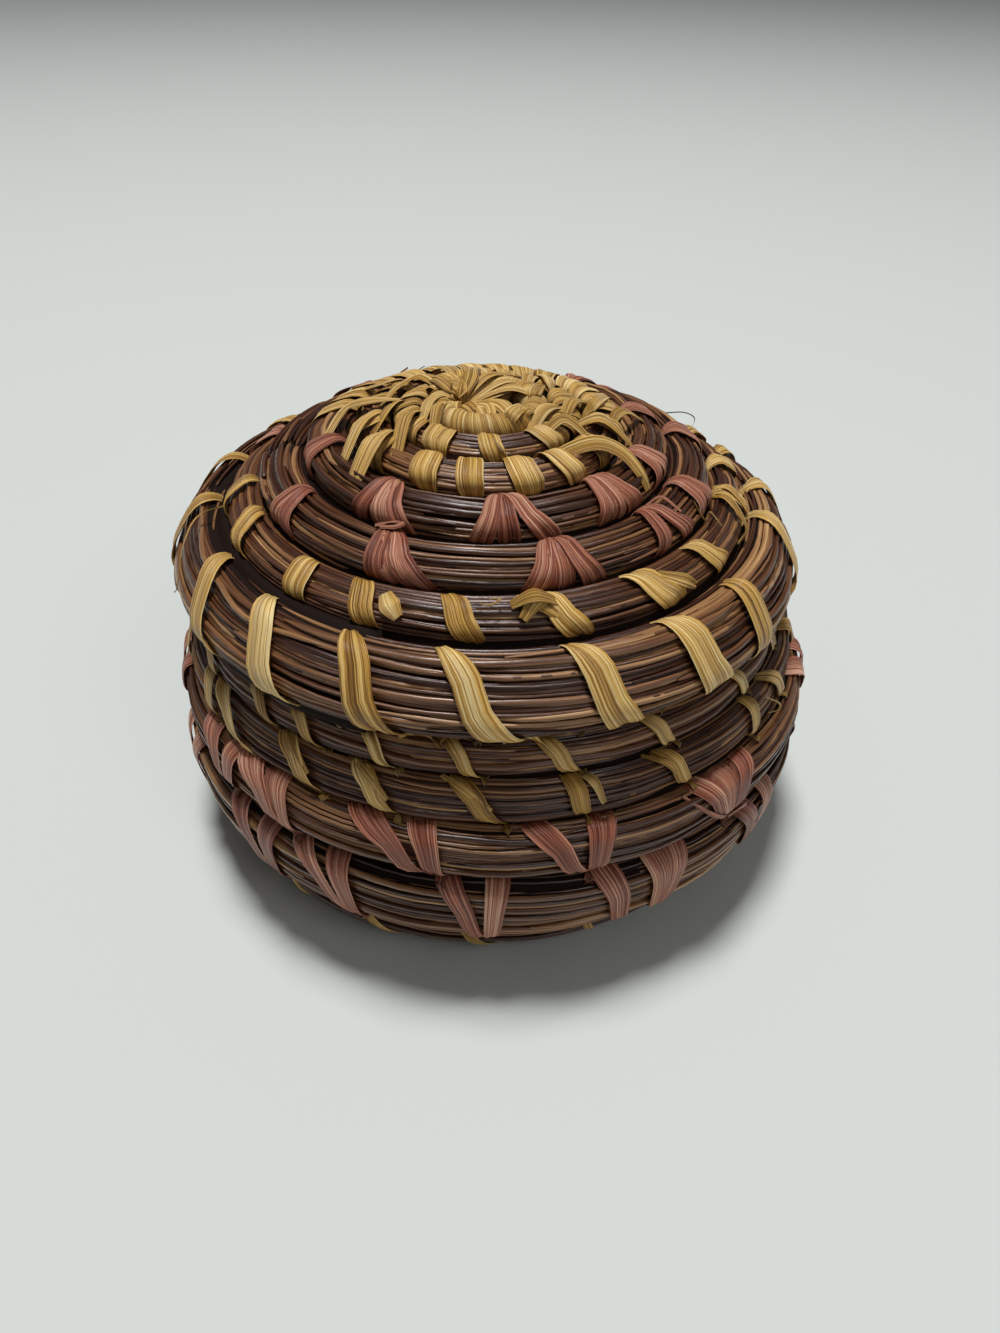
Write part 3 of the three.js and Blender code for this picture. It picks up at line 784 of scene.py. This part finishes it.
CORES = [  # name, coil, first and last turn, depth and reach. A joint stops a round short of the coil's free edge.
    ("bowl_bundle_core", bowl, 0.3, 11.3, FULL_DEPTH, SHORT_OF_EDGE),
    ("bowl_bundle_joint", bowl, 1.0, 10.2, FLATTER, INTO_NEXT_ROUND),
    ("lid_bundle_core", lid, 0.35, 7.3, FULL_DEPTH, SHORT_OF_EDGE),
    ("lid_bundle_joint", lid, 1.0, 6.2, FLATTER, INTO_NEXT_ROUND),
]
for name, coil, first, last, depth_share, reach in CORES:
    rings = core_rings(coil, first, last, depth_share, reach)
    # each core is coloured near-black, as painted shade
    tube(name, rings, name.split("_")[0], painted_shade_core_finish, "needles")

# %% [markdown]
# ## Sewing with raffia
# A strand of raffia is a flat, folded ribbon. It goes over the face of a round, through the groove, and back behind.
# Separate patches on the front would look right from one side only, so each round has one unbroken strand all round.
# Geometry Nodes sweep a flat section along it, turn it to face out, and press pleats into it.

# %% Geometry Nodes: sweep raffia along a guide
sewing = GuidedTree("Sweep raffia", {
    "Thickness": ("Float", 0.07), "Pleat depth": ("Float", 0.00013), "Pleats": ("Float", 0.95),
}, "Raffia")
ask, node = sewing.ask, sewing.node
plus, times, times_plus, sine = sewing.words("ADD", "MULTIPLY", "MULTIPLY_ADD", "SINE")
line = node("GeometryNodeMeshToCurve", {"Mesh": ask["Guide"]})
facing = sewing.stored("facing", "FLOAT_VECTOR")
line = node("GeometryNodeSetCurveNormal", {"Curve": line, "Normal": facing}, mode="FREE")
flat = node("GeometryNodeCurvePrimitiveCircle", {"Resolution": 34, "Radius": 1.0})
spot = add(sewing.tree, "ShaderNodeSeparateXYZ", {"Vector": node("GeometryNodeInputPosition")}).outputs
flat = sewing.kept_as(flat, "across", spot["Y"])
squeezed = node("ShaderNodeCombineXYZ", {"X": times(spot["X"], ask["Thickness"]), "Y": spot["Y"]})
flat = sewing.moved(flat, Position=squeezed)
swept = sewing.swept(line, flat, sewing.stored("width"))

# Pleats: two waves across the strand, shifted from stitch to stitch, pressed in along the way it faces
TONE_SHIFT, FINER, FINER_SHIFT, FINER_SHARE = 31.0, 1.9, 2.3, 0.6
EDGE_SHARPNESS, EDGE_DROP = 4.0, -0.9
across = sewing.stored("across")
phase = times(sewing.stored("tone"), TONE_SHIFT)
fold = times_plus(across, times(ask["Pleats"], math.pi), phase)
second = sine(times_plus(fold, FINER, times(phase, FINER_SHIFT)))
swept = sewing.kept_as(swept, "fold", times_plus(second, FINER_SHARE, sine(fold)))
edge_down = times(sewing.math("POWER", sewing.math("ABSOLUTE", across), EDGE_SHARPNESS), EDGE_DROP)
press = times(plus(sewing.stored("fold"), edge_down), ask["Pleat depth"])
sewing.end(sewing.moved(swept, Offset=sewing.scaled(sewing.stored("facing", "FLOAT_VECTOR"), press)))


# %% Where one strand of raffia runs, in degrees round the bundle and millimetres off it
GROOVE, FACE_ENDS = 74, 98
FRONT = np.radians([-102, -90, -80, -71, -62, -51, -39, -26, -13, 0, 13, 26, 38, 50, 62, 74, 86, FACE_ENDS])
FRONT_LIFT = np.interp(np.degrees(np.abs(FRONT)), [0, 50, 68, 86, 102], [0.5, 0.45, 0.4, 0.25, -1.4])
BACK = np.radians([115, 140, 165, 195, 220, 242])
BACK_LIFT = np.array([-2.6, -1.3, 0.22, 0.22, -1.3, -2.6])  # sunk in the grooves, and just on the needles between them
PIERCING = np.radians([52, 66])  # on the round below, a little under the groove
PIERCING_LIFT, AFTER_PIERCING = np.array([-1.6, 0.7]), (0.7, 0.3)
STRAND_LOWEST = 0.5


def measured(places, facings, widths, tones):
    """A strand's guide in metres, with how far along it each point is."""
    return {
        "place": places * MM, "facing": facings, "width": widths * MM / 2,
        "tone": tones, "lengthwise": distance_along(places) * MM,
    }


def strand_line(coil, passes, width, shape, rng, pierces=False):
    """Points of one round's strand: over the face from groove to groove, and back behind to the next stitch."""
    places, facings, widths, tones = [], [], [], []
    across_face = (np.degrees(FRONT) + GROOVE) / (FACE_ENDS + GROOVE)
    for index, (enter, leave) in enumerate(passes):
        full, tone = width * rng.uniform(0.85, 1.12), rng.random()
        lift = FRONT_LIFT + rng.uniform(0, 0.12)
        if pierces:
            lift[2:4] += AFTER_PIERCING
        place, facing = coil.section(enter + (leave - enter) * across_face, FRONT, lift)
        if pierces:
            place[:2] = coil.section(np.full(2, enter - 1), PIERCING, PIERCING_LIFT)[0]
        places.append(place)
        facings.append(facing)
        widths.append(full * np.interp(across_face, *shape))
        if index + 1 < len(passes):
            following = passes[index + 1][0]
            share = np.linspace(0, 1, len(BACK) + 2)[1:-1]
            place, facing = coil.section(leave + (following - leave) * share, BACK, BACK_LIFT)
            places.append(place)
            facings.append(facing)
            widths.append(np.full(len(BACK), 0.5 * width))
        tones.append(np.full(sum(map(len, widths)) - sum(map(len, tones)), tone))
    places = np.vstack(places)
    places[:, 2] = np.maximum(places[:, 2], STRAND_LOWEST)
    return measured(places, np.vstack(facings), np.concatenate(widths), np.concatenate(tones))


# %% The strand of each round
RIM_LEAF = ([0, 0.1, 0.3, 0.6, 0.9, 1], [0.45, 0.68, 0.92, 1.0, 1.0, 0.95])  # shares of the face and of the width
SMALL_LEAF = ([0, 0.15, 0.4, 0.75, 1], [0.5, 0.75, 1.0, 1.0, 0.7])
FANS = {
    "lid": ([0, 0.12, 0.45, 0.85, 1], [0.32, 0.5, 0.9, 1.15, 1.1]),
    "bowl": ([0, 0.15, 0.5, 0.85, 1], [0.4, 0.52, 0.8, 1.0, 1.0]),
}
STRAND_WIDTHS = {
    "lid": {6: 6.8, 5: 5.6, 4: 4.6, 3: 4.6, 2: 5.8, 1: 4.4},
    "bowl": {10: 3.2, 9: 4.0, 8: 6.2, 7: 5.6, 6: 2.4, 5: 3.6, 4: 3.6, 3: 3.6, 2: 3.6, 1: 3.6},
}
rng = random.Random(11)
for (name, round_number), passes in SEWN.items():
    coil = {"bowl": bowl, "lid": lid}[name]
    finish, slot, shape = golden_finish, "raffia_natural", SMALL_LEAF
    if round_number in MAUVE_ROUNDS[name]:
        finish, slot, shape = mauve_finish, "raffia_mauve", FANS[name]
    elif coil is lid and round_number == lid.turns:
        shape = RIM_LEAF
    pierces = coil is bowl and round_number > 6
    line = strand_line(coil, passes, STRAND_WIDTHS[name][round_number], shape, rng, pierces)
    stands_for = f"{name}_raffia_round_{round_number}"
    grown(f"{name}_stitches_{round_number}", [line], sewing, name, finish, slot, stands_for)

# %% [markdown]
# ## Start rings and the rosette
# Both coils begin at a ring of needles that is wrapped so closely that only raffia shows.
# On the lid, straps of raffia also cross the ring and run down into a hub. A striped picture would miss their edges.
# Each wrap and each strap is a guide for the same raffia tree, so they match the stitches.

# %% A free strand, and wraps round a ring
def strand_of(points, facings, widths, tone):
    """A free strand through a few points: smoothed, then measured."""
    points, facings, widths = (np.array(values, float) for values in (points, facings, widths))
    knots = np.arange(len(points))
    fine = np.linspace(0, len(points) - 1, 4 * len(points))
    padded = np.vstack([2 * points[0] - points[1], points, 2 * points[-1] - points[-2]])
    smooth = []
    for value in fine:
        k = min(int(value), len(points) - 2)
        t = value - k
        a, b, c, d = padded[k:k + 4]
        bend, lean = 2 * a - 5 * b + 4 * c - d, 3 * b - a - 3 * c + d
        smooth.append(0.5 * (2 * b + (c - a) * t + bend * t * t + lean * t ** 3))
    facing = unit(np.stack([np.interp(fine, knots, facings[:, k]) for k in range(3)], -1))
    return measured(np.array(smooth), facing, np.interp(fine, knots, widths), np.full(len(fine), tone))


WRAP_FROM, WRAP_TO = -150, 150  # degrees over the ring
WRAP_WIDTHS = np.array([0.5, 0.6, 0.75, 0.9, 1.1, 1.25, 1.3, 1.2, 1])
WRAP_SLANT, WRAP_LIFT = 0.35, 0.15


def ring_wraps(middle, radius, thick, wraps, side, rng):
    """Bands of raffia round a ring of needles, one line each."""
    lines = []
    for wrap in range(wraps):
        begin = FULL_TURN * (wrap + rng.uniform(-0.12, 0.12)) / wraps
        points, facings = [], []
        for share in np.linspace(0, 1, len(WRAP_WIDTHS)):
            radial = level(begin + WRAP_SLANT * (share - 0.5))
            over_ring = math.radians(WRAP_FROM + (WRAP_TO - WRAP_FROM) * share)
            facing = radial * math.sin(over_ring) + UP * side * math.cos(over_ring)
            points.append(middle + radial * radius + facing * (thick + WRAP_LIFT))
            facings.append(facing)
        wide = FULL_TURN * (radius + thick) / wraps
        lines.append(strand_of(points, facings, wide * WRAP_WIDTHS, rng.random()))
    return lines


# %% Wrapped start rings
def middle_and_size(node):
    low, high = (np.array(corner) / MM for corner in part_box(node))
    return (low + high) / 2, (high - low) / 2


THICKER = 0.12  # for each millimetre that a ring is grown by
CORE_UNDER = 0.5
for name, side, wraps, grown_by in (("lid", 1, 26, 3.5), ("bowl", -1, 14, 0)):
    node_name = f"{name}_start_ring"
    middle, size = middle_and_size(node_name)
    thick = size[2] + THICKER * grown_by
    middle = np.array([ORIGIN[0], ORIGIN[1], middle[2] + (size[2] - thick)])
    radius = size[0] - size[2] + grown_by
    lines = ring_wraps(middle, radius, thick, wraps, side, random.Random(5))
    grown(f"{name}_start_wraps", lines, sewing, name, golden_finish, "raffia_natural", node_name, Pleats=0.7)
    radial = level(np.linspace(0, FULL_TURN, 49))[:, None]
    around = np.linspace(0, FULL_TURN, 12, endpoint=False)[None, :, None]
    inner = thick - CORE_UNDER
    rings = middle + radial * (radius + inner * np.sin(around)) + UP * (inner * np.cos(around))
    tube(f"{name}_start_core", rings, name, golden_finish, "raffia_natural")

# %% Rosette over the lid's start ring
STRAPS = [  # width, and points in millimetres
    (3.5, [(-18, 6, 101.4), (-27, 1.5, 103.8), (-34, 2.5, 101.4), (-37, -5, 99)]),
    (3.2, [(-26, -1, 101.9), (-29.5, -9, 103), (-32, -16.6, 99.1)]),
    (2.7, [(-19.4, 5.5, 101.6), (-23.4, -1.2, 104), (-26.4, -9, 101.6)]),
    (2.7, [(-16, -8.7, 104.4), (-15, -4, 106), (-12.9, -1, 105.9)]),
    (2.7, [(-13.6, -11.5, 103.4), (-13, -7.2, 106.2), (-11.3, -2.4, 105.2)]),
    (3.0, [(-18.5, 8, 101.3), (-16, 13, 104), (-11.8, 3, 106.8), (-9.6, 3, 102.7)]),
    (3.0, [(-26, 4.5, 101.9), (-23, 9, 104), (-17.6, 14, 104.6), (-11.8, 2, 105.6)]),
    (2.6, [(-33, 19, 98.5), (-27, 14, 102.4), (-24, 22, 99.9)]),
    (3.0, [(-16, 28.5, 99.9), (-11.8, 18.5, 104.6), (-8.8, 5.2, 105.4), (-9.2, 3.8, 102.1)]),
    (2.2, [(-8.3, 10, 106), (-9, 4.1, 105), (-9.4, 3.4, 101.8)]),
    (3.3, [(-6, 24.6, 101.6), (-6.5, 16, 105.6), (-6.7, 7.8, 106.3), (-8.6, 4.7, 102.2)]),
    (3.0, [(3.2, 16.2, 104), (-1.8, 10.4, 106.6), (-5.1, 7.5, 105.4), (-8.4, 4.9, 101.6)]),
    (3.4, [(0.5, 10.5, 105.8), (-3.3, 7.6, 104.6), (-7.5, 5.8, 101.4)]),
    (3.5, [(8.5, 7.6, 105.4), (3, 5.4, 105.4), (-1, 3, 101.6)]),
    (2.8, [(6, 6, 105.8), (-0.3, 3.4, 104), (-2.2, 0.8, 101.4)]),
    (2.8, [(10, 14.2, 103.2), (8, 1.6, 106.6), (7.4, -0.2, 104.9)]),
    (2.8, [(9.7, 23.2, 101.3), (11.2, 11.5, 105.4), (12.1, 8.5, 103.2)]),
    (2.8, [(13.3, -0.8, 103.9), (9.9, -6.4, 105.9), (7.3, -10.8, 103.4)]),
    (2.8, [(19.4, 7, 101.9), (16, -0.5, 105.3), (14.3, -4.7, 103.1)]),
    (2.6, [(25.4, 18, 98.9), (22, 4.1, 103.8), (19.7, 1.5, 101.6)]),
    (2.8, [(10.3, -11.6, 103.4), (14, -10.2, 105.4), (19.2, -11.2, 101.6)]),
    (3.5, [(17, -6, 102.3), (22.2, -6.5, 104.2), (28.2, -6.3, 99)]),
    (2.6, [(24.4, -2.8, 101.1), (27.2, 0.4, 103), (32, 5.4, 98.8)]),
    (3.8, [(14, -18, 101.8), (20.5, -16, 103), (26, -16.5, 101.2), (30, -19.5, 97.8)]),
    (3.2, [(5.1, -5.6, 106), (3, -10.8, 106.8), (2, -11.5, 104.5)]),
    (2.8, [(4.7, -9.4, 104.9), (5.7, -8.5, 106.6), (7.5, -6.2, 105.2)]),
    (3.3, [(-17, -5, 103.7), (-19.5, -10.5, 105.4), (-20.8, -18.7, 101)]),
    (4.6, [(-22.6, -10, 101.7), (-25.6, -17.7, 103.4), (-28.7, -24.3, 98.5)]),
]
HUB = (-8.2, 3.2)
OVER_HUB = [  # width, how far it reaches from the hub, its direction in degrees, and how high it rises
    (4.6, 15.5, -4, 105.6), (4.4, 14.6, -24, 105.4), (4.2, 13.6, -44, 105.2), (4.0, 11.5, -66, 105.2),
    (3.8, 9.4, -92, 105.0), (3.6, 8.2, -122, 105.0), (3.4, 7.6, -156, 105.2), (3.6, 8.0, 172, 105.4),
    (3.8, 9.4, 138, 105.6), (4.2, 11.6, 104, 105.6), (4.4, 13.8, 72, 105.8), (4.6, 15.2, 46, 105.8),
    (4.6, 15.8, 20, 105.8),
]
HUB_SHARES, SWIRL = np.array([0.12, 0.4, 0.72, 1.0]), 0.35
HUB_BOTTOM, HUB_END = 102.4, 104.9
TAIL, TAIL_DROP = 2.6, (0, 0, 1.6)
rng = random.Random(23)
for width, reach, direction, rise in OVER_HUB:
    ways = np.radians(direction) + SWIRL * HUB_SHARES * rng.choice((-1, 1))
    heights = np.array([HUB_BOTTOM, rise - 1.1, rise + 0.2, HUB_END])
    x, y = HUB[0] + reach * HUB_SHARES * np.cos(ways), HUB[1] + reach * HUB_SHARES * np.sin(ways)
    STRAPS.append((width, np.stack([x, y, heights], -1)))


def tucked(end, before):
    """Where a strap goes on to, past its end and down among the needles."""
    return end + TAIL * (end - before) / np.linalg.norm(end - before) - TAIL_DROP


laid_straps = []
for width, points in STRAPS:
    points = np.array(points, float)
    points = np.vstack([tucked(points[0], points[1]), points, tucked(points[-1], points[-2])])
    facings = np.column_stack([(points[:, :2] - ORIGIN[:2]) / 50, np.ones(len(points))])
    widths = width * np.array([0.5, 0.8] + [1.1] * (len(points) - 4) + [0.85, 0.5])
    laid_straps.append(strand_of(points, facings, widths, rng.random()))
grown("lid_rosette", laid_straps, sewing, "lid", golden_finish, "raffia_natural", Pleats=0.9)

# %% [markdown]
# ## Loose ends
# Sewing by hand leaves knots, stubs and single fibres that stand off the face. They are few, so each is listed one by
# one.
# A seeded scatter would put them where the real basket has none.

# %% Knots, stubs and fibres
LOOSE = [  # piece, coil, width, and points as round, azimuth, angle round the bundle and lift
    ("gold", lid, 3.8, [(5, -83, -30, 0.2), (5, -79, -12, 1.5), (5, -75, 8, 0.4)]),
    ("gold", lid, 3.8, [(5, -75.5, -32, 0.2), (5, -79, -12, 2.3), (5, -82, 10, 0.4)]),
    ("gold", lid, 3.2, [(5, -84, -10, 0.3), (5, -79.5, -14, 3.1), (5, -74.5, -12, 0.4)]),
    ("gold", lid, 4.4, [(5, -109, -16, 0.2), (5, -107, 2, 0.9), (5, -105, 22, 0.3)]),
    ("gold", lid, 3.2, [(5, -51, -14, 0.3), (5, -47, 14, 0.9), (5, -44, 46, 0.4)]),
    ("gold", lid, 0.7, [(1, -85, -4, 0.7), (1, -80, 40, 1.3), (1, -75, 84, 0.9)]),
    ("gold", lid, 3.2, [(5, -6, -76, 0.4), (5, -8, -20, 0.9), (5, -11, 40, 0.7), (5, -13, 78, 0.3)]),
    ("gold", lid, 2.6, [(5, -9, -76, 0.4), (5, -14, -20, 0.9), (5, -18, 40, 0.8), (5, -21, 78, 0.3)]),
    ("gold", lid, 0.6, [
        (5, -168, 50, 0.5), (6, -163, -50, 2.2), (6, -156, -20, 2.6), (6, -153, 10, 1.2), (6, -156, 34, 0.5),
    ]),
    ("gold", lid, 0.4, [(4, -27, 10, 0.6), (4, -25, 70, 1.6), (5, -24, -50, 1.8), (5, -26, -10, 0.6)]),
    ("gold", lid, 0.5, [(5, -88, -30, 0.6), (5, -86, -16, 1.9), (5, -88, -4, 2.2), (5, -90, -12, 1.2)]),
    ("mauve", lid, 1.8, [
        (4, -119, -44, 0.5), (4, -116, -58, 1.8), (4, -112, -52, 2.4), (4, -113, -40, 1.6), (4, -117, -38, 0.9),
    ]),
    ("mauve", lid, 1.2, [(4, -38, -62, 0.4), (4, -35, -30, 1.4), (4, -34, 6, 0.8)]),
    ("dark", lid, 0.3, [(4, 118, -20, -0.4), (4, 117, -10, 1.6), (4, 113, 4, 3.4)]),
    ("dark", lid, 0.3, [(4, 112, -20, -0.4), (4, 112, -14, 1.4), (4, 109, -8, 2.8)]),
    ("dark", lid, 0.4, [(5, 38, -20, -0.4), (5, 36, 10, 2.4), (5, 33, 20, 2.8), (5, 32, 30, -0.3)]),
    ("gold", bowl, 0.4, [(9, -34, 20, 0.5), (9, -31, -10, 1.6), (9, -30, -40, 1.8), (9, -31, -60, 0.8)]),
    ("gold", bowl, 0.8, [(5, -96, -30, 0.4), (5, -98, 10, 0.8), (5, -102, 70, 0.4)]),
    ("gold", bowl, 2.0, [(9, -97, 84, 0.2), (9, -93, 40, 0.9), (9, -89, -4, 0.5)]),
    ("gold", bowl, 2.2, [(9, -113, 84, 0.2), (9, -109, 40, 0.9), (9, -105, -4, 0.5)]),
    ("gold", bowl, 2.2, [(9, -127, 84, 0.2), (9, -123, 40, 0.9), (9, -119, -4, 0.5)]),
    ("gold", bowl, 2.2, [(9, -75, 84, 0.2), (9, -73, 40, 0.9), (9, -71.5, -10, 0.5)]),
    ("gold", bowl, 1.8, [(9, -63, 84, 0.2), (9, -60, 30, 0.9), (9, -57, -30, 0.5)]),
    ("mauve", bowl, 2.2, [
        (8, -50, -60, 0.6), (8, -47, -76, 2.0), (8, -44, -60, 2.4), (8, -45, -40, 1.4), (8, -48, -52, 1.6),
    ]),
    ("mauve", bowl, 1.3, [(8, -47.5, -50, 0.8), (8, -52, -10, 1.0), (8, -58, 60, 0.6)]),
]
FINISHES = {
    "gold": (golden_finish, "raffia_natural"),
    "mauve": (mauve_finish, "raffia_mauve"),
    "dark": (needle_finish, "needles"),
}
rng = random.Random(41)
for body, coil in (("lid", lid), ("bowl", bowl)):
    for kind, (finish, slot) in FINISHES.items():
        fibres = []
        for width, marks in [(width, marks) for k, c, width, marks in LOOSE if k == kind and c is coil]:
            turns = [coil.turn_at(number, azimuth) for number, azimuth, _, _ in marks]
            angles, lifts = np.radians([mark[2] for mark in marks]), [mark[3] for mark in marks]
            widths = [0.6 * width] + [width] * (len(marks) - 2) + [0.5 * width]
            fibres.append(strand_of(*coil.section(turns, angles, lifts), widths, rng.random()))
        if fibres:
            grown(f"{body}_loose_{kind}", fibres, sewing, body, finish, slot, Thickness=0.16)

# %% [markdown]
# ## Collar under the lid
# A ring of needles under the lid keeps it centred in the mouth. The photograph doesn't show it, but such lids have one.
# It is laid and sewn by the same trees, on one level round instead of a coil.

# %% Collar and its lashing
class Collar(Coil):
    """One level round that faces inwards, with its edge towards the table."""

    def __init__(self, middle, radius, half_width, half_height):
        self.middle, self.radius, self.half, self.waists = middle, radius, half_height, np.zeros((0, 2))
        self.flatness = half_width / half_height

    def frame(self, turn):
        turn = np.asarray(turn, float)
        out = -level(FULL_TURN * turn)
        along = np.broadcast_to(-UP, out.shape)
        return self.middle + out * self.radius, along, out, self.half + 0 * turn, self.radius + 0 * turn

    def crown(self, turn):
        return self.flatness + 0 * np.asarray(turn)


COLLAR_HALF_WIDTH = 3.9
LASHES, LASH_SLANT = 12, 0.012
middle, size = middle_and_size("lid_collar")
middle = np.array([ORIGIN[0], ORIGIN[1], middle[2]])
collar = Collar(middle, size[1] - COLLAR_HALF_WIDTH, COLLAR_HALF_WIDTH, size[2])
line = bundle_guide(collar, 0.012, 0.988)
grown("collar_needles", [line], laying, "lid", needle_finish, "needles", "lid_collar", Tracks=34, Seed=90)
# the collar's core is coloured near-black too, as painted shade
tube("collar_core", core_rings(collar, 0.02, 0.98), "lid", painted_shade_core_finish, "needles")
lash_turns = [(lash + 0.5) / LASHES for lash in range(LASHES)]
lashes = [(turn - LASH_SLANT / 2, turn + LASH_SLANT / 2) for turn in lash_turns]
line = strand_line(collar, lashes, 4.4, SMALL_LEAF, random.Random(3))
grown("collar_lashing", [line], sewing, "lid", golden_finish, "raffia_natural", "lid_collar_raffia")
